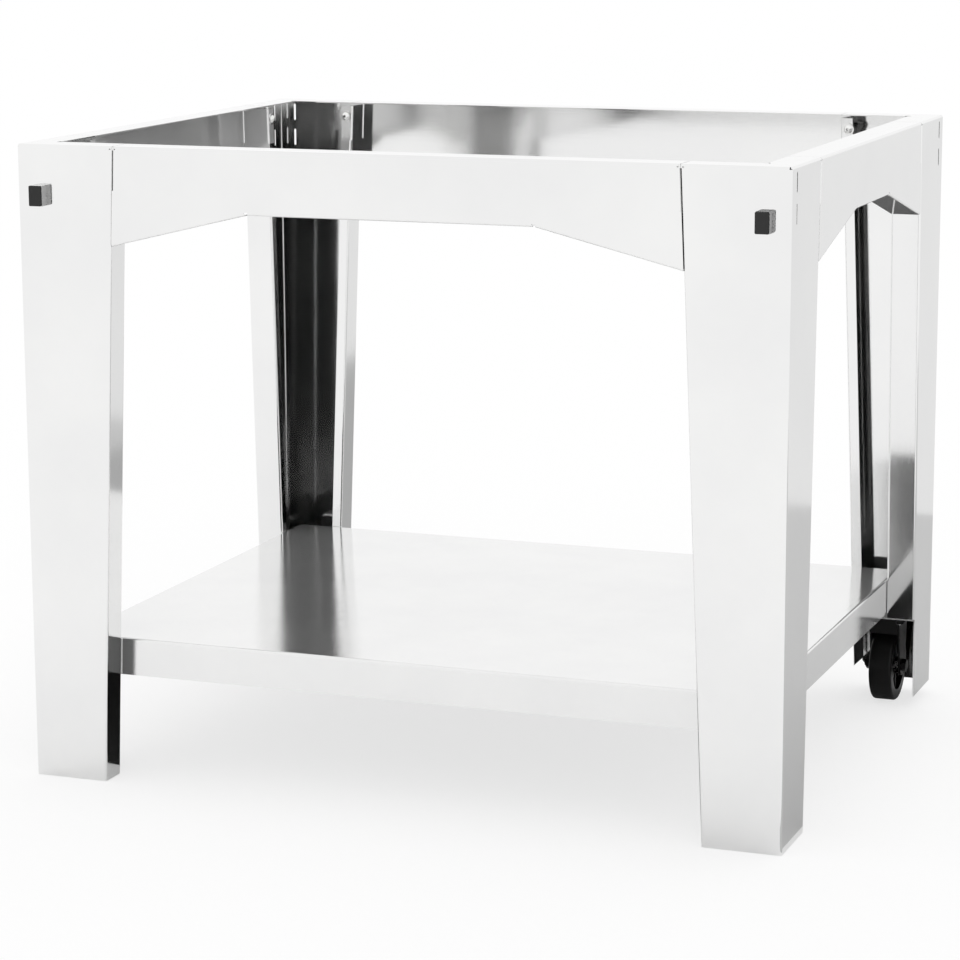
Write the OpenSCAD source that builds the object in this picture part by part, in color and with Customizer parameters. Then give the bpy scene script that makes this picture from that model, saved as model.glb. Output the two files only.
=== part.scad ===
// Oven table: an open-topped base of folded stainless sheet, with a shelf and two fixed rear wheels.
// Millimetres, +Z up, the front faces -Y. The origin is on the floor, in the middle of the outer box.

/* [Frame] */
// Width over the outer faces of the legs
frame_w = 1000; // [800:10:1300]
// Depth over the outer faces of the legs
frame_d = 800; // [650:10:1000]
// Height of the top flanges above the floor
frame_h = 820; // [680:10:980]
// Thickness of the folded sheet
sheet_t = 1.5; // [1:0.1:2]
// Outer radius of every fold
fold_r = 3; // [2.4:0.1:4]
// Depth of the flanges that are folded inward
flange_d = 40; // [32:1:50]
// Cut-back of a fold where three folds meet
relief = 2; // [1.5:0.1:2.5]

/* [Legs] */
// Width of a leg face at the top
leg_top_w = 133; // [110:1:160]
// Width of a leg face at the floor
leg_foot_w = 100; // [88:1:120]
// Width of the lip along the free edge of a leg flange
lip_w = 15; // [12.5:0.5:18]
// Height of the rear faces above the floor
rear_gap = 17; // [10:1:24]
// Corner cut at the foot of a rear face
rear_chamfer = 20; // [14:1:24]
// Radius of the notch where two top flanges meet
corner_notch_r = 4; // [3:0.5:5]

/* [Hanging slots] */
// Width of a slot
slot_w = 3.2; // [3:0.1:4]
// Length of a slot
slot_len = 24; // [18:1:30]
// Distance between the centres of the two slots
slot_pitch = 37; // [32:1:46]
// Distance of the upper slot's centre below the top
slot_drop = 19; // [16:1:24]
// Distance of the slots from the leg's outer corner
slot_inset = 24; // [16:1:30]

/* [Aprons] */
// Height of an apron where it meets a leg
apron_end_h = 125; // [100:1:150]
// Height of an apron in the middle
apron_mid_h = 80; // [64:1:95]
// Length of the sloping part of an apron's lower edge
arch_run = 185; // [140:1:220]
// Gap between an apron and a leg
seam_gap = 0.5; // [0.3:0.1:0.8]
// Height of the bracket at an apron's end
bracket_h = 55; // [45:1:66]
// Distance of the bracket's bolt below the top
bolt_drop = 20; // [18:0.5:26]

/* [Shelf] */
// Height of the shelf's top above the floor
shelf_z = 183; // [165:1:230]
// Height of the shelf's turned-down edges
shelf_edge_h = 49; // [40:1:52]

/* [Front stubs] */
// Width of the rectangular tube
stub_w = 17; // [14:0.5:20]
// Height of the rectangular tube
stub_h = 25.5; // [21:0.5:31]
// Wall of the tube
stub_wall = 1.5; // [1:0.1:2]
// Length that stands out of the leg, with its cap
stub_out = 14.5; // [12:0.5:18]
// Length inside the leg
stub_in = 12; // [8:0.5:16]
// Distance of the tube's axis from the leg's outer corner
stub_inset = 31; // [26:1:37]
// Distance of the tube's axis below the top
stub_drop = 63.5; // [52:0.5:76]
// Thickness of the cap's head
cap_t = 2.5; // [2:0.1:3]
// Depth of the cap's plug
cap_plug = 8; // [6:0.5:10]

/* [Casters] */
// Radius of the wheel
wheel_r = 50; // [41:1:52]
// Width of the tread
wheel_w = 32; // [26:1:34]
// Thickness of the tyre
tyre_t = 11; // [9:0.5:13]
// Overall height of the caster
caster_h = 126; // [122:1:132]
// Distance of the wheel's middle from the leg's side face
wheel_x = 47.5; // [44:0.5:52]
// Distance of the axle from the leg's rear face
wheel_y = 59; // [56.5:0.5:64]
// Thickness of the fork's sheet
fork_t = 2.5; // [2:0.1:3]
// Length of the fork's plate, front to back
fork_plate_l = 92; // [86:1:96]
// Width of the fork's plate
fork_plate_w = 68; // [62:1:72]
// Distance between the plate's holes, front to back
fork_hole_l = 70; // [69:1:76]
// Distance between the plate's holes, side to side
fork_hole_w = 48; // [44:1:52]
// Half the width of a cheek at its top
cheek_top = 26; // [20:1:28]
// Radius of a cheek's round end
cheek_r = 14; // [11.5:0.5:16]
// Gap between the hub and a cheek
hub_gap = 0.3; // [0.2:0.05:0.5]
// Thickness of the mounting plate in the leg
mount_t = 2; // [1.6:0.1:2.5]
// Height of the mounting plate's welded edges
mount_edge_h = 15; // [12:1:20]

/* [Fasteners] */
// Diameter of the bolts of aprons and casters
bolt_d = 6; // [5:0.5:6.5]
// Diameter of the shelf's bolts
shelf_bolt_d = 5; // [4:0.5:5.5]
// Diameter of the axle bolt
axle_d = 10; // [8:0.5:12]
// Clearance of a bolt in its hole, on the radius
hole_gap = 0.25; // [0.15:0.05:0.35]
// Running clearance of the bush on the axle, on the radius
run_gap = 0.05; // [0.03:0.01:0.09]

/* [Hidden] */
$fn = 48;

// Overlap of joined sheet pieces, of the flat ends of a bend, and overrun of every cut
lap = 2;
bend_lap = 1;
cut = 1;
// The stubs stand out at the front, so the frame sits this far behind the middle of the outer box
shift_y = stub_out / 2;
// Lean of a leg's inner edges
lean = atan((leg_top_w - leg_foot_w) / frame_h);
// Heights of the apron's lower edge at the leg and in the middle
apron_end_z = frame_h - apron_end_h;
apron_mid_z = frame_h - apron_mid_h;
// Bolts sit in the middle of the flat part of a lip
bolt_u = (fold_r + lip_w) / 2;
apron_bolt_z = frame_h - bolt_drop;
shelf_bolt_z = shelf_z - shelf_edge_h / 2;
// The rear side flanges stop on the mounting plate
mount_z = caster_h + mount_t;
// Sizes of bolts and nuts, as shares of the bolt's diameter: across flats and height of the nuts,
// height of the axle's head, radius and thickness of a round flange, height of a dome, and the
// width of a socket across its flats
nut_af_share = 1.65;
nut_h_share = 0.85;
wide_nut_af_share = 1.6;
wide_nut_h_share = 0.8;
axle_head_share = 0.62;
flange_r_share = 1.33;
flange_t_share = 0.2;
dome_h_share = 0.6;
socket_share = 2 / 3;
nut_af = nut_af_share * bolt_d;
nut_h = nut_h_share * bolt_d;
shelf_nut_af = wide_nut_af_share * shelf_bolt_d;
shelf_nut_h = wide_nut_h_share * shelf_bolt_d;
axle_af = wide_nut_af_share * axle_d;
axle_head_h = axle_head_share * axle_d;
axle_nut_h = wide_nut_h_share * axle_d;
// Widths of the hub and of the fork
hub_w = wheel_w + 2 * fork_t;
fork_in = hub_w + 2 * hub_gap;
fork_out = fork_in + 2 * fork_t;
rim_t = 4;
web_t = 6;
bush_t = 1.5;
boss_t = 5;
rib_t = 3;
rib_n = 8;
cap_gap = 0.1;
stub_gap = 0.1;
steel = [0.80, 0.80, 0.79];
zinc = [0.70, 0.71, 0.72];
black = [0.08, 0.08, 0.08];

// Distance of a leg's inner edge from the leg's outer corner, at height z
function leg_edge(z) = leg_foot_w + (leg_top_w - leg_foot_w) * z / frame_h;

// Places a corner's pieces, drawn with the corner at the origin and the table along +X and +Y
module at_corner(sx, sy) {
    translate([sx * frame_w / 2, sy * frame_d / 2 + shift_y, 0])
        mirror([(sx + 1) / 2, 0, 0])
            mirror([0, (sy + 1) / 2, 0])
                children();
}

// Draws what lies along one face of a corner along the other face
module other_face() {
    mirror([1, -1, 0]) children();
}

// A quarter of a folded sheet's bend, in the quadrant +X +Y of its centre, with a short stretch of
// flat sheet at each end that laps into the pieces that it joins
module bend_2d() {
    intersection() {
        difference() {
            circle(r = fold_r);
            circle(r = fold_r - sheet_t);
        }
        square(fold_r);
    }
    translate([fold_r - sheet_t, -bend_lap]) square([sheet_t, bend_lap]);
    translate([-bend_lap, fold_r - sheet_t]) square([bend_lap, sheet_t]);
}

// A layer between two heights that covers a whole corner or a whole apron
module layer(z_low, z_high, reach) {
    translate([-reach, -reach, z_low]) cube([2 * reach, 2 * reach, z_high - z_low]);
}

// Cross-section of a leg face's inner edge: a tab of the face, the flange and its lip
module leg_edge_2d() {
    translate([-fold_r - lap, 0]) square([lap, sheet_t]);
    translate([-fold_r, fold_r]) mirror([0, 1]) bend_2d();
    translate([-sheet_t, fold_r]) square([sheet_t, flange_d - 2 * fold_r]);
    translate([-fold_r, flange_d - fold_r]) bend_2d();
    translate([-lip_w, flange_d - sheet_t]) square([lip_w - fold_r, sheet_t]);
}

// The flange and lip of one leg face, leaning with its inner edge
module leg_flange(z_low) {
    intersection() {
        translate([leg_foot_w, 0, 0])
            rotate([0, lean, 0])
                translate([0, 0, -lip_w])
                    linear_extrude(frame_h + 2 * lip_w) leg_edge_2d();
        layer(z_low, frame_h - fold_r - relief, leg_top_w);
    }
}

// One leg face: a leaning sheet with its folded edges, a fold to the top flange and no corner fold
module leg_face(z_low, z_flange, chamfer) {
    z_top = frame_h - fold_r;
    in = fold_r + lap / 2;
    translate([0, sheet_t, 0])
        rotate([90, 0, 0])
            linear_extrude(sheet_t) {
                polygon([
                    [fold_r, z_low], [leg_edge(z_low) - max(chamfer, in), z_low],
                    [leg_edge(z_low + chamfer) - in, z_low + chamfer],
                    [leg_edge(z_top) - in, z_top], [fold_r, z_top]
                ]);
                if (z_flange > z_low + chamfer)
                    polygon([
                        [leg_edge(z_low) - in - lap, z_low], [leg_edge(z_low), z_low],
                        [leg_edge(z_flange), z_flange], [leg_edge(z_flange) - in - lap, z_flange]
                    ]);
            }
    difference() {
        leg_flange(max(z_flange, z_low));
        if (chamfer > 0)
            translate([leg_edge(z_low + chamfer), -cut, z_low + chamfer])
                rotate([0, 45, 0])
                    translate([-leg_foot_w, 0, -leg_foot_w])
                        cube([2 * leg_foot_w, flange_d + 2 * cut, leg_foot_w]);
    }
    translate([fold_r, fold_r, z_top])
        rotate([90, 0, 90])
            linear_extrude(leg_top_w - fold_r - relief) mirror([1, 0]) bend_2d();
}

// Two upright slots for hooks, cut in a side face
module slot_cuts() {
    for (i = [0, 1])
        translate([-cut, slot_inset, frame_h - slot_drop - i * slot_pitch])
            rotate([0, 90, 0])
                linear_extrude(sheet_t + 2 * cut) {
                    square([slot_len - slot_w, slot_w], center = true);
                    for (s = [-1, 1])
                        translate([s * (slot_len - slot_w) / 2, 0]) circle(d = slot_w);
                }
}

// Holes through the lip of a face: one for the apron's bolt, one for the shelf's bolt
module lip_holes() {
    for (hole = [[apron_bolt_z, bolt_d], [shelf_bolt_z, shelf_bolt_d]])
        translate([leg_edge(hole[0]) - bolt_u, flange_d - sheet_t - cut, hole[0]])
            rotate([-90, 0, 0])
                cylinder(r = hole[1] / 2 + hole_gap, h = sheet_t + 2 * cut);
}

// A whole leg at a corner: two faces, the corner fold and the top flange
module leg(rear) {
    z_low = rear ? rear_gap : 0;
    difference() {
        union() {
            leg_face(z_low, z_low, rear ? rear_chamfer : 0);
            other_face() leg_face(z_low, rear ? mount_z : z_low, 0);
            translate([fold_r, fold_r, z_low])
                linear_extrude(frame_h - fold_r - z_low) rotate([0, 0, 180]) bend_2d();
            translate([0, 0, frame_h - sheet_t])
                linear_extrude(sheet_t)
                    difference() {
                        polygon([
                            [fold_r, fold_r], [leg_top_w, fold_r], [leg_top_w, flange_d],
                            [flange_d, flange_d], [flange_d, leg_top_w], [fold_r, leg_top_w]
                        ]);
                        translate([flange_d, flange_d]) circle(r = corner_notch_r);
                    }
        }
        lip_holes();
        other_face() lip_holes();
        slot_cuts();
        if (rear) other_face() slot_cuts();
        if (!rear)
            translate([stub_inset, 0, frame_h - stub_drop])
                cube([stub_w + 2 * stub_gap, 2 * (sheet_t + cut), stub_h + 2 * stub_gap], center = true);
    }
}

// Half the length of an apron at height z
function apron_half(span, z) = span / 2 - leg_edge(z) - seam_gap;

// Cross-section of an apron's bracket, from the leg's edge: a tab of the face, the flange and the
// tab that laps over the leg's lip
module bracket_2d() {
    translate([-seam_gap - fold_r - lap, 0]) square([lap, sheet_t]);
    translate([-seam_gap - fold_r, fold_r]) mirror([0, 1]) bend_2d();
    translate([-seam_gap - sheet_t, fold_r]) square([sheet_t, flange_d + sheet_t - 2 * fold_r]);
    translate([-seam_gap + fold_r - sheet_t, flange_d + sheet_t - fold_r]) mirror([1, 0]) bend_2d();
    translate([-seam_gap + fold_r - sheet_t, flange_d])
        square([lip_w + seam_gap - fold_r + sheet_t, sheet_t]);
}

// The bracket at an apron's right end, leaning with the leg
module bracket(span) {
    difference() {
        intersection() {
            translate([span / 2 - leg_foot_w, 0, 0])
                rotate([0, -lean, 0])
                    translate([0, 0, -lip_w])
                        linear_extrude(frame_h + 2 * lip_w) bracket_2d();
            layer(frame_h - bracket_h, frame_h - fold_r - relief, span);
        }
        translate([span / 2 - leg_edge(apron_bolt_z) + bolt_u, flange_d - cut, apron_bolt_z])
            rotate([-90, 0, 0])
                cylinder(r = bolt_d / 2 + hole_gap, h = sheet_t + 2 * cut);
    }
}

// A folded flange along a lower edge, from one mitred end; miter is the cut-back at full depth
module lower_fold(run, miter_start, miter_end) {
    translate([relief, 0, 0])
        rotate([90, 0, 90])
            linear_extrude(run - 2 * relief) {
                translate([fold_r, fold_r]) rotate([0, 0, 180]) bend_2d();
                translate([0, fold_r]) square([sheet_t, lap]);
            }
    linear_extrude(sheet_t)
        polygon([
            [relief, fold_r], [run - relief, fold_r],
            [run - relief - miter_end, flange_d], [relief + miter_start, flange_d]
        ]);
}

// An apron, drawn with its outer face at y = 0 and the table along +Y
module apron(span) {
    mid = apron_half(span, apron_end_z) - arch_run;
    slope = atan((apron_mid_z - apron_end_z) / arch_run);
    miter = flange_d * tan(slope / 2);
    z_top = frame_h - fold_r;
    up = fold_r + lap / 2;
    z_bracket = frame_h - bracket_h;
    // Face, up to the folds
    translate([0, sheet_t, 0])
        rotate([90, 0, 0])
            linear_extrude(sheet_t) {
                polygon([
                    [-apron_half(span, apron_end_z) + up, apron_end_z + up], [-mid, apron_mid_z + up],
                    [mid, apron_mid_z + up], [apron_half(span, apron_end_z) - up, apron_end_z + up],
                    [apron_half(span, z_top) - up, z_top], [-apron_half(span, z_top) + up, z_top]
                ]);
                for (s = [-1, 1])
                    polygon([
                        [s * (apron_half(span, apron_end_z) - up - lap), apron_end_z + up],
                        [s * apron_half(span, apron_end_z), apron_end_z + up],
                        [s * apron_half(span, z_bracket), z_bracket],
                        [s * (apron_half(span, z_bracket) - up - lap), z_bracket]
                    ]);
            }
    // Lower folds: level in the middle and sloping to the legs
    translate([-mid, 0, apron_mid_z]) lower_fold(2 * mid, miter, miter);
    for (s = [0, 1])
        mirror([s, 0, 0])
            intersection() {
                translate([mid, 0, apron_mid_z])
                    rotate([0, slope, 0]) lower_fold(2 * arch_run, miter, 0);
                translate([0, flange_d + cut, 0])
                    rotate([90, 0, 0])
                        linear_extrude(flange_d + 2 * cut)
                            polygon([
                                [0, apron_end_z - flange_d],
                                [apron_half(span, apron_end_z - flange_d), apron_end_z - flange_d],
                                [apron_half(span, frame_h), frame_h], [0, frame_h]
                            ]);
            }
    // Top fold and top flange
    translate([-apron_half(span, frame_h) + relief, fold_r, z_top])
        rotate([90, 0, 90])
            linear_extrude(2 * apron_half(span, frame_h) - 2 * relief) mirror([1, 0]) bend_2d();
    translate([-apron_half(span, frame_h), fold_r, frame_h - sheet_t])
        cube([2 * apron_half(span, frame_h), flange_d - fold_r, sheet_t]);
    // End brackets
    bracket(span);
    mirror([1, 0, 0]) bracket(span);
}

// The shelf: a flat pan with turned-down edges that sit between the lips of the legs
module shelf_pan() {
    w = frame_w - 2 * flange_d;
    d = frame_d - 2 * flange_d;
    translate([-w / 2 + fold_r, -d / 2 + fold_r, shelf_z - sheet_t])
        cube([w - 2 * fold_r, d - 2 * fold_r, sheet_t]);
    for (side = [[0, w, d], [90, d, w], [180, w, d], [270, d, w]])
        rotate([0, 0, side[0]])
            translate([0, -side[2] / 2, 0]) {
                translate([-side[1] / 2 + fold_r + relief, fold_r, shelf_z - fold_r])
                    rotate([90, 0, 90])
                        linear_extrude(side[1] - 2 * fold_r - 2 * relief) mirror([1, 0]) bend_2d();
                translate([-side[1] / 2 + sheet_t + seam_gap, 0, shelf_z - shelf_edge_h])
                    cube([side[1] - 2 * sheet_t - 2 * seam_gap, sheet_t, shelf_edge_h - fold_r]);
            }
}

// Places a bolt or nut of the shelf or of an apron: at each corner, on both faces.
// The piece's seat is at the origin and it points along +Z, which becomes inward.
module on_lips(z, depth) {
    for (sx = [-1, 1])
        for (sy = [-1, 1])
            at_corner(sx, sy)
                for (f = [0, 1])
                    mirror([f, -f, 0])
                        translate([leg_edge(z) - bolt_u, depth, z])
                            rotate([-90, 0, 0])
                                children();
}

module hexagon(af) {
    circle(r = af / sqrt(3), $fn = 6);
}

module nut(d, af, h) {
    linear_extrude(h)
        difference() {
            hexagon(af);
            circle(r = d / 2 + run_gap, $fn = 48);
        }
}

// A bolt with a low domed head on a round flange: the head is above its seat, the shank below it
module dome_bolt(d, shank) {
    flange_r = flange_r_share * d;
    flange_t = flange_t_share * d;
    dome_r = d;
    dome_h = dome_h_share * d;
    ball_r = (dome_r * dome_r + dome_h * dome_h) / (2 * dome_h);
    difference() {
        union() {
            cylinder(r = flange_r, h = flange_t);
            intersection() {
                translate([0, 0, flange_t + dome_h - ball_r]) sphere(r = ball_r);
                cylinder(r = dome_r, h = flange_t + dome_h);
            }
            translate([0, 0, -shank]) cylinder(d = d, h = shank + flange_t);
        }
        translate([0, 0, flange_t]) linear_extrude(dome_h) hexagon(socket_share * d);
    }
}

// A rectangular tube that stands out of a front leg, and its cap, drawn at a corner
module stub() {
    translate([stub_inset, (stub_in - stub_out + cap_t) / 2 + sheet_t / 2, frame_h - stub_drop])
        difference() {
            cube([stub_w, stub_in + stub_out - cap_t + sheet_t, stub_h], center = true);
            cube([stub_w - 2 * stub_wall, 2 * (stub_in + stub_out), stub_h - 2 * stub_wall], center = true);
        }
}

module stub_cap() {
    corner_r = stub_wall;
    translate([stub_inset, -stub_out, frame_h - stub_drop])
        rotate([-90, 0, 0]) {
            linear_extrude(cap_t)
                for (s = [0, 1])
                    square([
                        stub_w - 2 * corner_r * s, stub_h - 2 * corner_r * (1 - s)
                    ], center = true);
            for (sx = [-1, 1])
                for (sz = [-1, 1])
                    translate([sx * (stub_w / 2 - corner_r), sz * (stub_h / 2 - corner_r), 0])
                        cylinder(r = corner_r, h = cap_t);
            plug_in = stub_wall + cap_gap;
            linear_extrude(cap_t + cap_plug)
                difference() {
                    square([stub_w - 2 * plug_in, stub_h - 2 * plug_in], center = true);
                    square([stub_w - 4 * plug_in, stub_h - 4 * plug_in], center = true);
                }
        }
}

// Holes of a caster's plate, around the wheel's middle
module fork_holes(z, h) {
    for (sx = [-1, 1])
        for (sy = [-1, 1])
            translate([wheel_x + sx * fork_hole_w / 2, wheel_y + sy * fork_hole_l / 2, z])
                cylinder(r = bolt_d / 2 + hole_gap, h = h);
}

// The plate in a rear leg that carries the caster, with two edges welded to the leg's faces
module caster_mount() {
    reach = leg_edge(mount_z);
    front = wheel_y + fork_plate_l / 2;
    seat = fold_r + sheet_t;
    difference() {
        union() {
            translate([0, 0, caster_h])
                linear_extrude(mount_t)
                    polygon([
                        [sheet_t, seat], [seat, sheet_t], [reach - seat, sheet_t],
                        [reach - seat, flange_d - fold_r], [reach - lip_w - fold_r, flange_d - fold_r],
                        [reach - lip_w - fold_r, front], [sheet_t, front]
                    ]);
            translate([seat, sheet_t, caster_h])
                cube([reach - 2 * seat, mount_t, mount_t + mount_edge_h]);
            translate([sheet_t, seat, caster_h])
                cube([mount_t, reach - 2 * seat, mount_t + mount_edge_h]);
        }
        fork_holes(caster_h - cut, mount_t + 2 * cut);
    }
}

// The fixed fork: a plate and two cheeks that narrow to the axle
module fork() {
    z_cheek = caster_h - fork_t;
    reach = z_cheek - wheel_r;
    // Tangent points of the cheek's straight sides on its round end
    far = sqrt(cheek_top * cheek_top + reach * reach);
    turn = atan2(cheek_top, reach) - asin(cheek_r / far);
    tip = [cheek_r * cos(turn), -cheek_r * sin(turn)];
    difference() {
        union() {
            translate([wheel_x - fork_plate_w / 2, wheel_y - fork_plate_l / 2, z_cheek])
                cube([fork_plate_w, fork_plate_l, fork_t]);
            for (s = [0, 1])
                translate([wheel_x + (s ? fork_in / 2 : -fork_out / 2), wheel_y, wheel_r])
                    rotate([90, 0, 90])
                        linear_extrude(fork_t) {
                            circle(r = cheek_r);
                            polygon([
                                [-cheek_top, reach + bend_lap], [-cheek_top, reach], [-tip[0], tip[1]],
                                [0, 0], tip, [cheek_top, reach], [cheek_top, reach + bend_lap]
                            ]);
                        }
        }
        fork_holes(caster_h - fork_t - cut, fork_t + 2 * cut);
        translate([wheel_x - fork_out, wheel_y, wheel_r])
            rotate([0, 90, 0])
                cylinder(r = axle_d / 2 + hole_gap, h = 2 * fork_out);
    }
}

// Turns a profile of radius and width about the wheel's axle
module about_axle() {
    translate([wheel_x, wheel_y, wheel_r]) rotate([0, 90, 0]) rotate_extrude($fn = 96) children();
}

// A tyre with a flat tread and rounded shoulders
module tyre() {
    shoulder = 4;
    about_axle()
        difference() {
            translate([wheel_r - tyre_t, -wheel_w / 2]) square([tyre_t, wheel_w]);
            for (s = [-1, 1])
                translate([wheel_r - shoulder, s * (wheel_w / 2 - shoulder)])
                    difference() {
                        translate([0, s > 0 ? 0 : -shoulder]) square([shoulder + cut, shoulder]);
                        circle(r = shoulder);
                        translate([-shoulder, s > 0 ? -shoulder : 0]) square([2 * shoulder, shoulder]);
                    }
        }
}

// The wheel's centre: a rim, a web with ribs, and a barrel round the bush
module hub() {
    rim_r = wheel_r - tyre_t;
    barrel_in = axle_d / 2 + run_gap + bush_t;
    barrel_out = barrel_in + boss_t;
    rib_w = wheel_w - 2 * rim_t;
    about_axle() {
        translate([rim_r - rim_t, -wheel_w / 2]) square([rim_t, wheel_w]);
        translate([barrel_out - cut, -web_t / 2]) square([rim_r - rim_t - barrel_out + 2 * cut, web_t]);
        translate([barrel_in, -hub_w / 2]) square([barrel_out - barrel_in, hub_w]);
    }
    for (i = [0 : rib_n - 1])
        translate([wheel_x, wheel_y, wheel_r])
            rotate([i * 360 / rib_n, 0, 0])
                translate([-rib_w / 2, -rib_t / 2, barrel_out - cut])
                    cube([rib_w, rib_t, rim_r - rim_t - barrel_out + 2 * cut]);
}

module bush() {
    about_axle()
        translate([axle_d / 2 + run_gap, -hub_w / 2]) square([bush_t, hub_w]);
}

// The axle: a hexagon bolt from the outer side of the fork, and its nut
module axle_bolt() {
    translate([wheel_x - fork_out / 2, wheel_y, wheel_r])
        rotate([0, 90, 0]) {
            translate([0, 0, -axle_head_h / 2])
                cylinder(d = axle_d, h = axle_head_h / 2 + fork_out + axle_nut_h + fork_t);
            translate([0, 0, -axle_head_h]) linear_extrude(axle_head_h) hexagon(axle_af);
        }
}

module axle_nut() {
    translate([wheel_x + fork_out / 2, wheel_y, wheel_r])
        rotate([0, 90, 0]) nut(axle_d, axle_af, axle_nut_h);
}

// A caster's bolts, from above through both plates, and the nuts under the fork's plate
module on_fork_holes(z) {
    for (side = [-1, 1])
        at_corner(side, 1)
            for (sx = [-1, 1])
                for (sy = [-1, 1])
                    translate([wheel_x + sx * fork_hole_w / 2, wheel_y + sy * fork_hole_l / 2, z])
                        children();
}

module leg_front_left() { color(steel) at_corner(-1, -1) leg(false); }
module leg_front_right() { color(steel) at_corner(1, -1) leg(false); }
module leg_rear_left() { color(steel) at_corner(-1, 1) leg(true); }
module leg_rear_right() { color(steel) at_corner(1, 1) leg(true); }
module apron_front() { color(steel) translate([0, shift_y - frame_d / 2, 0]) apron(frame_w); }
module apron_rear() {
    color(steel) translate([0, shift_y + frame_d / 2, 0]) rotate([0, 0, 180]) apron(frame_w);
}
module apron_left() {
    color(steel) translate([-frame_w / 2, shift_y, 0]) rotate([0, 0, -90]) apron(frame_d);
}
module apron_right() {
    color(steel) translate([frame_w / 2, shift_y, 0]) rotate([0, 0, 90]) apron(frame_d);
}
module shelf() {
    color(steel)
        difference() {
            translate([0, shift_y, 0]) shelf_pan();
            on_lips(shelf_bolt_z, flange_d - cut)
                cylinder(r = shelf_bolt_d / 2 + hole_gap, h = sheet_t + 2 * cut);
        }
}
module stub_left() { color(steel) at_corner(-1, -1) stub(); }
module stub_right() { color(steel) at_corner(1, -1) stub(); }
module stub_cap_left() { color(black) at_corner(-1, -1) stub_cap(); }
module stub_cap_right() { color(black) at_corner(1, -1) stub_cap(); }
module caster_mount_left() { color(steel) at_corner(-1, 1) caster_mount(); }
module caster_mount_right() { color(steel) at_corner(1, 1) caster_mount(); }
module fork_left() { color(zinc) at_corner(-1, 1) fork(); }
module fork_right() { color(zinc) at_corner(1, 1) fork(); }
module tyre_left() { color(black) at_corner(-1, 1) tyre(); }
module tyre_right() { color(black) at_corner(1, 1) tyre(); }
module hub_left() { color(black) at_corner(-1, 1) hub(); }
module hub_right() { color(black) at_corner(1, 1) hub(); }
module bush_left() { color(zinc) at_corner(-1, 1) bush(); }
module bush_right() { color(zinc) at_corner(1, 1) bush(); }
module axle_bolt_left() { color(zinc) at_corner(-1, 1) axle_bolt(); }
module axle_bolt_right() { color(zinc) at_corner(1, 1) axle_bolt(); }
module axle_nut_left() { color(zinc) at_corner(-1, 1) axle_nut(); }
module axle_nut_right() { color(zinc) at_corner(1, 1) axle_nut(); }
module apron_bolts() {
    color(zinc)
        on_lips(apron_bolt_z, flange_d + sheet_t) dome_bolt(bolt_d, 2 * sheet_t + nut_h + sheet_t);
}
module apron_nuts() {
    color(zinc) on_lips(apron_bolt_z, flange_d - sheet_t - nut_h) nut(bolt_d, nut_af, nut_h);
}
module shelf_bolts() {
    color(zinc)
        on_lips(shelf_bolt_z, flange_d - sheet_t)
            rotate([180, 0, 0]) dome_bolt(shelf_bolt_d, 2 * sheet_t + shelf_nut_h + sheet_t);
}
module shelf_nuts() {
    color(zinc)
        on_lips(shelf_bolt_z, flange_d + sheet_t) nut(shelf_bolt_d, shelf_nut_af, shelf_nut_h);
}
module caster_bolts() {
    color(zinc) on_fork_holes(mount_z) dome_bolt(bolt_d, mount_t + fork_t + nut_h + sheet_t);
}
module caster_nuts() {
    color(zinc) on_fork_holes(caster_h - fork_t - nut_h) nut(bolt_d, nut_af, nut_h);
}

leg_front_left();
leg_front_right();
leg_rear_left();
leg_rear_right();
apron_front();
apron_rear();
apron_left();
apron_right();
shelf();
stub_left();
stub_right();
stub_cap_left();
stub_cap_right();
caster_mount_left();
caster_mount_right();
fork_left();
fork_right();
tyre_left();
tyre_right();
hub_left();
hub_right();
bush_left();
bush_right();
axle_bolt_left();
axle_bolt_right();
axle_nut_left();
axle_nut_right();
apron_bolts();
apron_nuts();
shelf_bolts();
shelf_nuts();
caster_bolts();
caster_nuts();
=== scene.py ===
from math import cos, pi, radians, sin

import bmesh
import bpy
from mathutils import Matrix


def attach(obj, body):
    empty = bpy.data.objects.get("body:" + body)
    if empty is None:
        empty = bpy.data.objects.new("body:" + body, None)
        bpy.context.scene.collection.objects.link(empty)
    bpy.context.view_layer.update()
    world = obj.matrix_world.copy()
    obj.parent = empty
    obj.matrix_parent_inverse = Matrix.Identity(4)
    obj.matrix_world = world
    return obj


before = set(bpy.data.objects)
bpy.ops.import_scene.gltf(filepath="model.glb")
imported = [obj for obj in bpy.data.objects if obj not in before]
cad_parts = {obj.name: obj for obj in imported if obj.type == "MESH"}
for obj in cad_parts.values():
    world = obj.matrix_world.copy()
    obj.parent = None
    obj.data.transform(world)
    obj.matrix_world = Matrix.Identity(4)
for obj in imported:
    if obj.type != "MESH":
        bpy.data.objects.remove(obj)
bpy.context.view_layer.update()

MM = 0.001

# The frame's sizes, as the CAD model has them
FRAME_W = 1000 * MM
FRAME_D = 800 * MM
FRAME_H = 820 * MM
SHEET = 1.5 * MM
FOLD = 3 * MM
FLANGE = 40 * MM
RELIEF = 2 * MM
LAP_IN = 4 * MM
SEAM = 0.5 * MM
LEG_TOP = 133 * MM
LEG_FOOT = 100 * MM
APRON_END = 125 * MM
BRACKET = 55 * MM
SHIFT_Y = 7.25 * MM
WHEEL_X = 452.5 * MM
WHEEL_Y = 348.25 * MM
WHEEL_Z = 50 * MM

# Sizes of the forms that are added here
CLEAR = 0.05 * MM
END_LIFT = 2.4 * MM
END_ROUND = 6 * MM
END_STEPS = 6
FOLD_STEPS = 8
WEB_HALF = 18.7 * MM
WEB_THICK = 2.5 * MM
WEB_TOP = 123.4 * MM
WEB_REACH = 25 * MM
WEB_CLEAR_R = 54 * MM
WEB_ROUND = 0.6 * MM
WEB_STEPS = 2
BOSS_SEGMENTS = 64
BOSS_SHARP = 30
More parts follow.
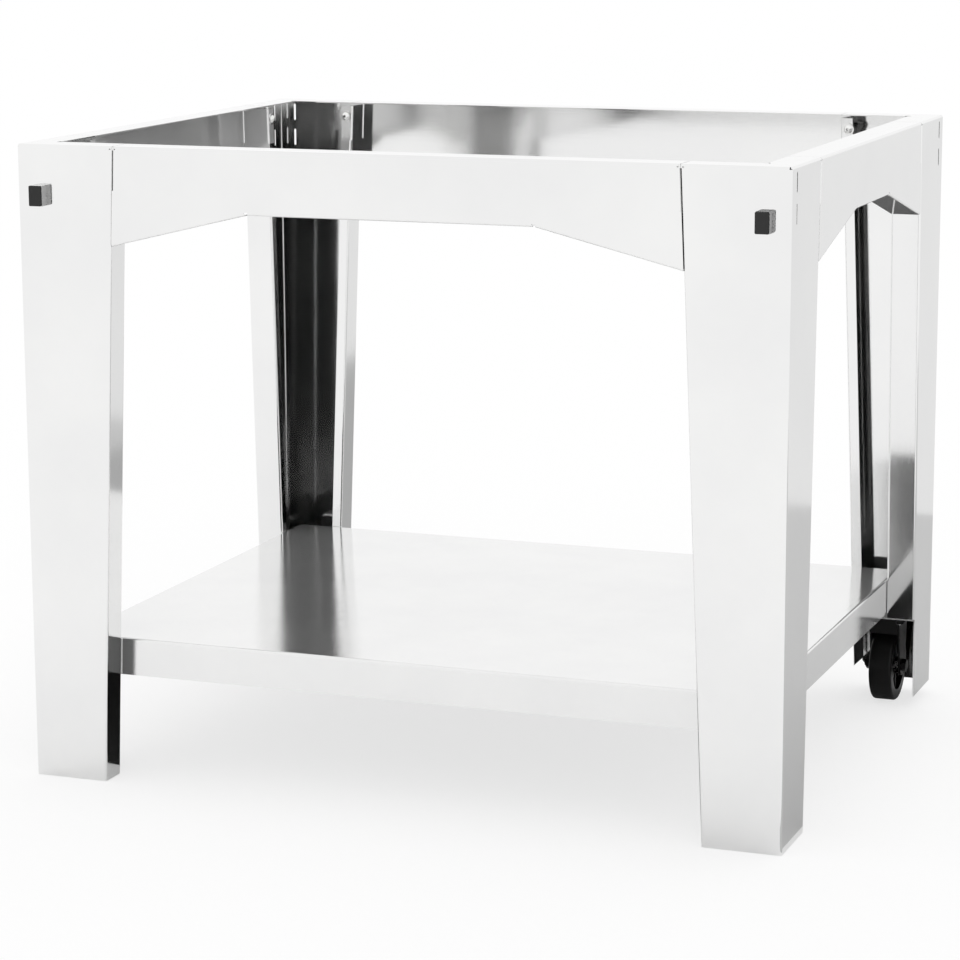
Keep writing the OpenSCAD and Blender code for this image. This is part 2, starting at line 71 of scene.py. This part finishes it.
# A collar's section in mm: distance from the wheel's middle plane, and radius
BOSS_PROFILE = [
    (12.4, 11.65), (18.5, 11.65), (18.5, 12.0), (18.25, 12.25), (12.65, 12.25), (12.4, 12.0),
]

# Surfaces: the band of noise values in use, noise scales per metre, colours, roughness and depths
NOISE_LOW = 0.3
NOISE_HIGH = 0.7
EVEN = (1, 1, 1)
UPRIGHT = (1, 1, 0.01)
ALONG_X = (0.01, 1, 1)
ALONG_Y = (1, 0.01, 1)
SMEAR_SCALE = 6.0
WAVE_SCALE = 2.5
GRAIN_SCALE = 900.0
PLATING_SCALE = 60.0
DUST_SCALE = 40.0
WAVE_DETAIL = 1.0
GRAIN_DETAIL = 2.0
CLOUD_DETAIL = 4.0
DUST_DETAIL = 5.0
NOISE_ROUGH = 0.6
STEEL_DARK = (0.85, 0.85, 0.85)
STEEL_LIGHT = (0.89, 0.89, 0.885)
SMEAR_ROUGH = (0.06, 0.10)
GRAIN_ROUGH = (0.0, 0.03)
WAVE_DEPTH = 0.6 * MM
PIT_DEPTH = 0.02 * MM
MOULDED_DEPTH = 0.03 * MM

# Floor, in metres, and the shares of light that it gives back and of plain white for the camera
FLOOR_SIZE = 60
FLOOR_ROUGH = 0.9
FLOOR_LIT = 0.86
FLOOR_GLOW = 0.7

# Tones of the cards that paint shade into the metal's reflections, their height over the floor in
# metres, and the ray depth past which a ray has met more than one surface
# Black tone of the two cards that paint shade into the folded inner corners
CARD_CORNER_SHADE = 0.005
# Dark tone of the card under the frame: painted shadow of the floor there, seen in the metal
CARD_SHADOW_UNDER = 0.03
# Grey tones of the floor cards beside and behind the frame: painted shade of the floor in
# reflections, darker nearer the frame
CARD_SHADE_NEAR = 0.62
CARD_SHADE_REAR = 0.45
CARD_SHADE_FAR = 0.84
CARD_LIFT = 0.002
SECOND_RAY = 1.5

# The camera that was fitted to the photograph: mm, metres and degrees
LENS = 115.55
SENSOR = 36.0
CLIP_END = 100
CAMERA_AT = (1.40824, -3.80389, 1.15661)
CAMERA_TURN = (78.7548, 0.2379, 20.6705)


# Node helpers

def new_material(name):
    material = bpy.data.materials.new(name)
    material.use_nodes = True
    tree = material.node_tree
    shader = tree.nodes["Principled BSDF"]
    return material, tree, shader


def node(tree, kind, inputs=(), **settings):
    """Adds a shader node, with its settings and the values of its inputs by name or number."""
    made = tree.nodes.new(kind)
    for key, value in settings.items():
        setattr(made, key, value)
    for key, value in dict(inputs).items():
        made.inputs[key].default_value = value
    return made


def stretched_noise(tree, scale, stretch, detail):
    """Noise in the object's own metres, drawn out along the axes whose stretch is small."""
    place = node(tree, "ShaderNodeTexCoord")
    mapping = node(tree, "ShaderNodeMapping", {"Scale": stretch})
    noise = node(tree, "ShaderNodeTexNoise", {
        "Scale": scale, "Detail": detail, "Roughness": NOISE_ROUGH,
    })
    tree.links.new(place.outputs["Object"], mapping.inputs["Vector"])
    tree.links.new(mapping.outputs["Vector"], noise.inputs["Vector"])
    return noise.outputs["Fac"]


def ranged(tree, value, low, high):
    """Maps a noise value to a range."""
    scale = node(tree, "ShaderNodeMapRange", {
        "From Min": NOISE_LOW, "From Max": NOISE_HIGH, "To Min": low, "To Max": high,
    })
    tree.links.new(value, scale.inputs["Value"])
    return scale.outputs["Result"]


def ramp(tree, value, low_color, high_color):
    """A colour between two, by a noise value."""
    blend = node(tree, "ShaderNodeMix", data_type="RGBA")
    tree.links.new(ranged(tree, value, 0.0, 1.0), blend.inputs["Factor"])
    blend.inputs["A"].default_value = (*low_color, 1)
    blend.inputs["B"].default_value = (*high_color, 1)
    return blend.outputs["Result"]


def bump(tree, value, distance, under=None):
    """Relief from a noise value, on top of another relief where one is given."""
    made = node(tree, "ShaderNodeBump", {"Distance": distance, "Strength": 1.0})
    tree.links.new(value, made.inputs["Height"])
    if under is not None:
        tree.links.new(under, made.inputs["Normal"])
    return made.outputs["Normal"]


def light_path(tree, output):
    return node(tree, "ShaderNodeLightPath").outputs[output]


def mixed(tree, factor, first, second):
    """Shows the second shader by a factor and the first by the rest."""
    blend = node(tree, "ShaderNodeMixShader")
    tree.links.new(factor, blend.inputs["Fac"])
    tree.links.new(first, blend.inputs[1])
    tree.links.new(second, blend.inputs[2])
    tree.links.new(blend.outputs["Shader"], tree.nodes["Material Output"].inputs["Surface"])


# Materials

def sheet_steel(name, grain, grain_depth, metallic):
    """Bright stainless sheet: a fine grain along one axis, soft smears and slight waviness.
    Less than 1 metallic gives the share that the brushed surface scatters."""
    material, tree, shader = new_material(name)
    shader.inputs["Metallic"].default_value = metallic
    smear = stretched_noise(tree, SMEAR_SCALE, EVEN, CLOUD_DETAIL)
    lines = stretched_noise(tree, GRAIN_SCALE, grain, GRAIN_DETAIL)
    waves = stretched_noise(tree, WAVE_SCALE, EVEN, WAVE_DETAIL)
    tree.links.new(ramp(tree, smear, STEEL_DARK, STEEL_LIGHT), shader.inputs["Base Color"])
    rough = node(tree, "ShaderNodeMath", operation="ADD")
    tree.links.new(ranged(tree, smear, *SMEAR_ROUGH), rough.inputs[0])
    tree.links.new(ranged(tree, lines, *GRAIN_ROUGH), rough.inputs[1])
    tree.links.new(rough.outputs["Value"], shader.inputs["Roughness"])
    wavy = bump(tree, waves, WAVE_DEPTH)
    tree.links.new(bump(tree, lines, grain_depth, wavy), shader.inputs["Normal"])
    return material


def plated_steel(name, color_low, color_high, rough_low, rough_high):
    """Plated or turned steel for plates and fasteners."""
    material, tree, shader = new_material(name)
    shader.inputs["Metallic"].default_value = 1.0
    cloud = stretched_noise(tree, PLATING_SCALE, EVEN, CLOUD_DETAIL)
    tree.links.new(ramp(tree, cloud, color_low, color_high), shader.inputs["Base Color"])
    tree.links.new(ranged(tree, cloud, rough_low, rough_high), shader.inputs["Roughness"])
    pits = stretched_noise(tree, GRAIN_SCALE, EVEN, GRAIN_DETAIL)
    tree.links.new(bump(tree, pits, PIT_DEPTH), shader.inputs["Normal"])
    return material


def black_surface(name, low, high, rough_low, rough_high, grain_size, specular):
    """Black plastic, rubber or coating with a fine grain and dusty patches."""
    material, tree, shader = new_material(name)
    shader.inputs["Specular IOR Level"].default_value = specular
    cloud = stretched_noise(tree, DUST_SCALE, EVEN, DUST_DETAIL)
    tree.links.new(ramp(tree, cloud, (low,) * 3, (high,) * 3), shader.inputs["Base Color"])
    tree.links.new(ranged(tree, cloud, rough_low, rough_high), shader.inputs["Roughness"])
    grain = stretched_noise(tree, 1 / grain_size, EVEN, GRAIN_DETAIL)
    tree.links.new(bump(tree, grain, MOULDED_DEPTH), shader.inputs["Normal"])
    return material


leg_steel = sheet_steel("leg_steel", UPRIGHT, 0.004 * MM, 1.0)
apron_x_steel = sheet_steel("apron_x_steel", ALONG_X, 0.006 * MM, 0.95)
apron_y_steel = sheet_steel("apron_y_steel", ALONG_Y, 0.03 * MM, 0.65)
shelf_steel = sheet_steel("shelf_steel", ALONG_Y, 0.05 * MM, 0.82)
stub_steel = sheet_steel("stub_steel", ALONG_Y, 0.01 * MM, 0.3)
black_zinc = plated_steel("black_zinc", (0.012, 0.012, 0.013), (0.03, 0.03, 0.03), 0.3, 0.45)
mount_steel = plated_steel("mount_steel", (0.58, 0.58, 0.58), (0.66, 0.66, 0.65), 0.2, 0.32)
bolt_steel = plated_steel("bolt_steel", (0.85, 0.85, 0.84), (0.92, 0.92, 0.91), 0.12, 0.25)
fork_steel = black_surface("fork_steel", 0.004, 0.008, 0.3, 0.45, 0.5 * MM, 0.2)
cap_plastic = black_surface("cap_plastic", 0.016, 0.022, 0.38, 0.5, 0.4 * MM, 0.3)
hub_plastic = black_surface("hub_plastic", 0.004, 0.007, 0.3, 0.42, 0.6 * MM, 0.15)
tyre_rubber = black_surface("tyre_rubber", 0.003, 0.006, 0.32, 0.45, 0.8 * MM, 0.15)

MATERIALS = {
    "leg_front": leg_steel, "leg_rear": leg_steel,
    "apron_front": apron_x_steel, "apron_rear": apron_x_steel,
    "apron_left": apron_y_steel, "apron_right": apron_y_steel,
    "shelf": shelf_steel,
    "stub": stub_steel, "stub_cap": cap_plastic,
    "caster_mount": mount_steel, "fork": fork_steel,
    "tyre": tyre_rubber, "hub": hub_plastic, "bush": bolt_steel,
    "axle_bolt": black_zinc, "axle_nut": black_zinc,
    "apron_bolts": bolt_steel, "apron_nuts": bolt_steel,
    "shelf_bolts": bolt_steel, "shelf_nuts": bolt_steel,
    "caster_bolts": bolt_steel, "caster_nuts": black_zinc,
}


def material_of(name):
    """A node's material, by its full name or by the name that its left and right copies share."""
    shared = name.rsplit("_", 1)[0]
    return MATERIALS.get(name) or MATERIALS[shared]


for name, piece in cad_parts.items():
    for index in range(len(piece.material_slots)):
        piece.material_slots[index].material = material_of(name)


# Small forms that the CAD model leaves out. The photograph shows the seams and the right wheel's
# collar. The fork's webs are guessed inside its black.

def leg_edge(z):
    """Distance of a leg's inner edge from the leg's outer corner, at height z."""
    return LEG_FOOT + (LEG_TOP - LEG_FOOT) * z / FRAME_H


def add_prism(bm, outline, x_at, low, high):
    """A prism along x over an outline of (y, z); x_at gives the lean, low and high the two ends."""
    rings = []
    for offset in (low, high):
        rings.append([bm.verts.new((x_at(z) + offset, y, z)) for y, z in outline])
    count = len(outline)
    bm.faces.new(rings[0])
    bm.faces.new(rings[1][::-1])
    for i in range(count):
        j = (i + 1) % count
        bm.faces.new((rings[0][j], rings[0][i], rings[1][i], rings[1][j]))


def arc(center_y, center_z, radius, start, end, steps):
    """Points of an arc in the (y, z) plane, by angles from +Y towards +Z."""
    points = []
    for i in range(steps + 1):
        angle = start + (end - start) * i / steps
        points.append((center_y + radius * cos(angle), center_z + radius * sin(angle)))
    return points


def end_flange_outline():
    """The turned-in end of an apron below its bracket, with a rounded inner corner at the foot."""
    low = FRAME_H - APRON_END + END_LIFT
    high = FRAME_H - BRACKET - CLEAR
    near = SHEET + 2 * CLEAR
    corner = arc(FLANGE - END_ROUND, low + END_ROUND, END_ROUND, -pi / 2, 0, END_STEPS)
    return [(near, low), *corner, (FLANGE, high), (near, high)]


def seam_outline():
    """The top of a face and its fold to the top flange, in section."""
    low = FRAME_H - FOLD - RELIEF + CLEAR
    centre_z = FRAME_H - FOLD
    outer = arc(FOLD, centre_z, FOLD, pi, pi / 2, FOLD_STEPS)
    inner = arc(FOLD, centre_z, FOLD - SHEET, pi / 2, pi, FOLD_STEPS)
    return [(0, low), *outer, *inner, (SHEET, low)]


def patch_outline():
    """The strip of a face that lies beside the seam, under the fold."""
    low = FRAME_H - FOLD - RELIEF + CLEAR
    high = FRAME_H - FOLD - CLEAR
    return [(0, low), (SHEET, low), (SHEET, high), (0, high)]


def build_end_flanges(bm, span, sign):
    def x_at(z):
        return sign * (span / 2 - leg_edge(z) - SEAM)

    low, high = sorted((0.0, -sign * SHEET))
    add_prism(bm, end_flange_outline(), x_at, low, high)


def build_seam_ends(bm, span, sign):
    def edge(z):
        return sign * (span / 2 - leg_edge(z))

    apron_end = (-sign * SEAM, -sign * (SEAM + RELIEF - CLEAR))
    leg_end = (0.0, sign * (RELIEF - CLEAR))
    for ends in (apron_end, leg_end):
        low, high = sorted(ends)
        add_prism(bm, seam_outline(), edge, low, high)
    apron_patch = (-sign * (SEAM + RELIEF), -sign * (SEAM + LAP_IN - CLEAR))
    leg_patch = (sign * RELIEF, sign * (LAP_IN - CLEAR))
    for ends in (apron_patch, leg_patch):
        low, high = sorted(ends)
        add_prism(bm, patch_outline(), edge, low, high)


def side_mesh(span, build):
    """Builds pieces for both ends of an apron whose outer face is at y = 0, over a span along x."""
    bm = bmesh.new()
    for sign in (-1, 1):
        build(bm, span, sign)
    bmesh.ops.recalc_face_normals(bm, faces=bm.faces)
    return bm


# Each side's span, where the middle of its outer face stands, and its turn in degrees
SIDES = {
    "front": (FRAME_W, (0, SHIFT_Y - FRAME_D / 2, 0), 0),
    "rear": (FRAME_W, (0, SHIFT_Y + FRAME_D / 2, 0), 180),
    "left": (FRAME_D, (-FRAME_W / 2, SHIFT_Y, 0), -90),
    "right": (FRAME_D, (FRAME_W / 2, SHIFT_Y, 0), 90),
}


def mesh_piece(name, bm, material, body):
    """Makes a piece of a mesh, on a body and in a material slot of the record."""
    mesh = bpy.data.meshes.new(name)
    bm.to_mesh(mesh)
    bm.free()
    piece = bpy.data.objects.new(name, mesh)
    bpy.context.scene.collection.objects.link(piece)
    mesh.materials.append(material)
    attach(piece, body)
    return piece


def add_seam_pieces():
    """The aprons' turned-in ends and the ends of the top folds beside each seam."""
    for side, (span, place, turn) in SIDES.items():
        material = apron_x_steel if side in ("front", "rear") else apron_y_steel
        for kind, build in (("end_flanges", build_end_flanges), ("fold_ends", build_seam_ends)):
            bm = side_mesh(span, build)
            bmesh.ops.rotate(bm, verts=bm.verts, matrix=Matrix.Rotation(radians(turn), 3, "Z"))
            bmesh.ops.translate(bm, verts=bm.verts, vec=place)
            mesh_piece(f"{kind}_{side}", bm, material, "frame")


def boss_ring(bm, sign, flip, angle):
    """A collar's section at one angle about the axle."""
    ring = []
    for x, r in BOSS_PROFILE:
        ring.append(bm.verts.new((
            sign * WHEEL_X + flip * x * MM,
            WHEEL_Y + r * MM * cos(angle),
            WHEEL_Z + r * MM * sin(angle),
        )))
    return ring


def add_boss(name, body, sign):
    """The bright steel collars on a wheel's hub, between its ribs and the fork's cheeks."""
    bm = bmesh.new()
    for flip in (-1, 1):
        rings = [boss_ring(bm, sign, flip, 2 * pi * i / BOSS_SEGMENTS) for i in range(BOSS_SEGMENTS)]
        for i in range(BOSS_SEGMENTS):
            here = rings[i]
            there = rings[(i + 1) % BOSS_SEGMENTS]
            for k in range(len(BOSS_PROFILE)):
                m = (k + 1) % len(BOSS_PROFILE)
                bm.faces.new((here[k], here[m], there[m], there[k]))
    bmesh.ops.recalc_face_normals(bm, faces=bm.faces)
    for face in bm.faces:
        face.smooth = True
    piece = mesh_piece(name, bm, bolt_steel, body)
    piece.data.set_sharp_from_angle(angle=radians(BOSS_SHARP))


def add_fork_webs(name, sign):
    """The turned-down front and rear edges of a fork's plate, arched over the wheel."""
    def middle(z):
        return sign * WHEEL_X

    foot = WHEEL_Z + (WEB_CLEAR_R ** 2 - (WEB_REACH - WEB_THICK) ** 2) ** 0.5
    bm = bmesh.new()
    for flip in (-1, 1):
        outer = WHEEL_Y + flip * WEB_REACH
        inner = outer - flip * WEB_THICK
        outline = [(outer, foot), (inner, foot), (inner, WEB_TOP), (outer, WEB_TOP)]
        add_prism(bm, outline, middle, -WEB_HALF, WEB_HALF)
    bmesh.ops.recalc_face_normals(bm, faces=bm.faces)
    level_edges = [e for e in bm.edges if abs(e.verts[0].co.z - e.verts[1].co.z) < CLEAR]
    bmesh.ops.bevel(bm, geom=level_edges, offset=WEB_ROUND, segments=WEB_STEPS, affect="EDGES")
    mesh_piece(name, bm, fork_steel, "frame")


add_seam_pieces()
add_fork_webs("fork_webs_left", -1)
add_fork_webs("fork_webs_right", 1)
add_boss("boss_left", "wheel_left", -1)
add_boss("boss_right", "wheel_right", 1)


# Floor, light and camera

def larger(tree, first, second):
    made = node(tree, "ShaderNodeMath", operation="MAXIMUM")
    tree.links.new(first, made.inputs[0])
    tree.links.new(second, made.inputs[1])
    return made.outputs["Value"]


def seen_directly(tree):
    """1 for what the camera sees, straight or in a mirror or glass, and 0 for light on surfaces."""
    either = larger(tree, light_path(tree, "Is Camera Ray"), light_path(tree, "Is Glossy Ray"))
    return larger(tree, either, light_path(tree, "Is Transmission Ray"))


def matt(shader, roughness):
    shader.inputs["Roughness"].default_value = roughness
    shader.inputs["Specular IOR Level"].default_value = 0.0


def pale_floor():
    """A wide white floor that keeps a soft shadow of the object."""
    bpy.ops.mesh.primitive_plane_add(size=FLOOR_SIZE, location=(0, 0, 0))
    floor = bpy.context.active_object
    floor.name = "floor"
    material, tree, shader = new_material("floor_white")
    matt(shader, FLOOR_ROUGH)
    colour = node(tree, "ShaderNodeMix", data_type="RGBA")
    colour.inputs["A"].default_value = (FLOOR_LIT, FLOOR_LIT, FLOOR_LIT, 1)
    colour.inputs["B"].default_value = (1, 1, 1, 1)
    tree.links.new(seen_directly(tree), colour.inputs["Factor"])
    tree.links.new(colour.outputs["Result"], shader.inputs["Base Color"])
    glow = node(tree, "ShaderNodeEmission", {"Color": (1, 1, 1, 1), "Strength": 1.0})
    share = node(tree, "ShaderNodeMath", {1: FLOOR_GLOW}, operation="MULTIPLY")
    tree.links.new(light_path(tree, "Is Camera Ray"), share.inputs[0])
    mixed(tree, share.outputs["Value"], shader.outputs["BSDF"], glow.outputs["Emission"])
    floor.data.materials.append(material)


def white_world():
    """An even white surround."""
    world = bpy.data.worlds.new("studio")
    bpy.context.scene.world = world
    world.use_nodes = True
    background = world.node_tree.nodes["Background"]
    background.inputs["Color"].default_value = (1, 1, 1, 1)
    background.inputs["Strength"].default_value = 1.0


def on_floor(*places):
    """A card's corners just over the floor, from places in x and y."""
    return [(x, y, CARD_LIFT) for x, y in places]


def standing(start, end, height):
    """The corners of a card that stands on the floor between two places."""
    return [(*start, 0), (*end, 0), (*end, height), (*start, height)]


def show_inside_only(tree, shader):
    """Hides a card from a first reflection, so that only folded inner corners show it, as painted
    shade there.
    """
    second = node(tree, "ShaderNodeMath", {1: SECOND_RAY}, operation="GREATER_THAN")
    tree.links.new(light_path(tree, "Ray Depth"), second.inputs[0])
    clear = node(tree, "ShaderNodeBsdfTransparent")
    mixed(tree, second.outputs["Value"], clear.outputs["BSDF"], shader.outputs["BSDF"])


def reflected_shade_card(name, tone, corners, inner):
    """A card of painted shade that shows in the metal's reflections alone: it takes no light from
    anything.
    """
    mesh = bpy.data.meshes.new(name)
    mesh.from_pydata(corners, [], [tuple(range(len(corners)))])
    card = bpy.data.objects.new(name, mesh)
    bpy.context.scene.collection.objects.link(card)
    material, tree, shader = new_material(name)
    shader.inputs["Base Color"].default_value = (tone, tone, tone, 1)
    matt(shader, 1.0)
    if inner:
        show_inside_only(tree, shader)
    mesh.materials.append(material)
    card.visible_camera = False
    card.visible_diffuse = False
    card.visible_shadow = False
    card.visible_transmission = False


# Each card's tone of painted shade, its corners in metres, and whether it shows inside the folded
# corners alone
CARDS = {
    # Two black cards, seen only past a first reflection: painted shade inside the folded corners
    "card_standing": (CARD_CORNER_SHADE, standing((-0.2, -2.4), (3.2, -1.4), 2.4), True),
    "card_lying": (CARD_CORNER_SHADE, on_floor((-0.5, -0.6), (-0.2, -2.4), (3.2, -1.4), (3.2, -0.6)), True),
    # A dark card under the frame: painted shadow on the floor, seen only in reflections
    "card_under": (
        CARD_SHADOW_UNDER, on_floor((-0.42, -0.33), (0.42, -0.33), (0.42, 0.33), (-0.42, 0.33)), False,
    ),
    # Grey cards on the floor beside the frame: painted shade of the floor, seen only in the metal
    "card_right_near": (
        CARD_SHADE_NEAR, on_floor((0.505, -0.5), (3.0, -0.5), (3.0, 1.6), (0.505, 1.6)), False,
    ),
    "card_right_far": (
        CARD_SHADE_FAR, on_floor((0.505, 1.6), (3.0, 1.6), (5.0, 12.0), (0.8, 12.0)), False,
    ),
    # A grey card behind the frame: painted shade of the floor, seen only in the metal
    "card_rear": (CARD_SHADE_REAR, on_floor((-0.4, 0.6), (0.5, 0.6), (0.5, 3.0), (-0.4, 3.0)), False),
}


def photo_camera():
    data = bpy.data.cameras.new("camera")
    data.lens = LENS
    data.sensor_width = SENSOR
    data.clip_end = CLIP_END
    camera = bpy.data.objects.new("camera", data)
    bpy.context.scene.collection.objects.link(camera)
    camera.location = CAMERA_AT
    camera.rotation_euler = [radians(angle) for angle in CAMERA_TURN]
    bpy.context.scene.camera = camera


pale_floor()
white_world()
for name, (tone, corners, inner) in CARDS.items():
    reflected_shade_card(name, tone, corners, inner)
photo_camera()
bpy.context.scene.view_settings.view_transform = "Standard"
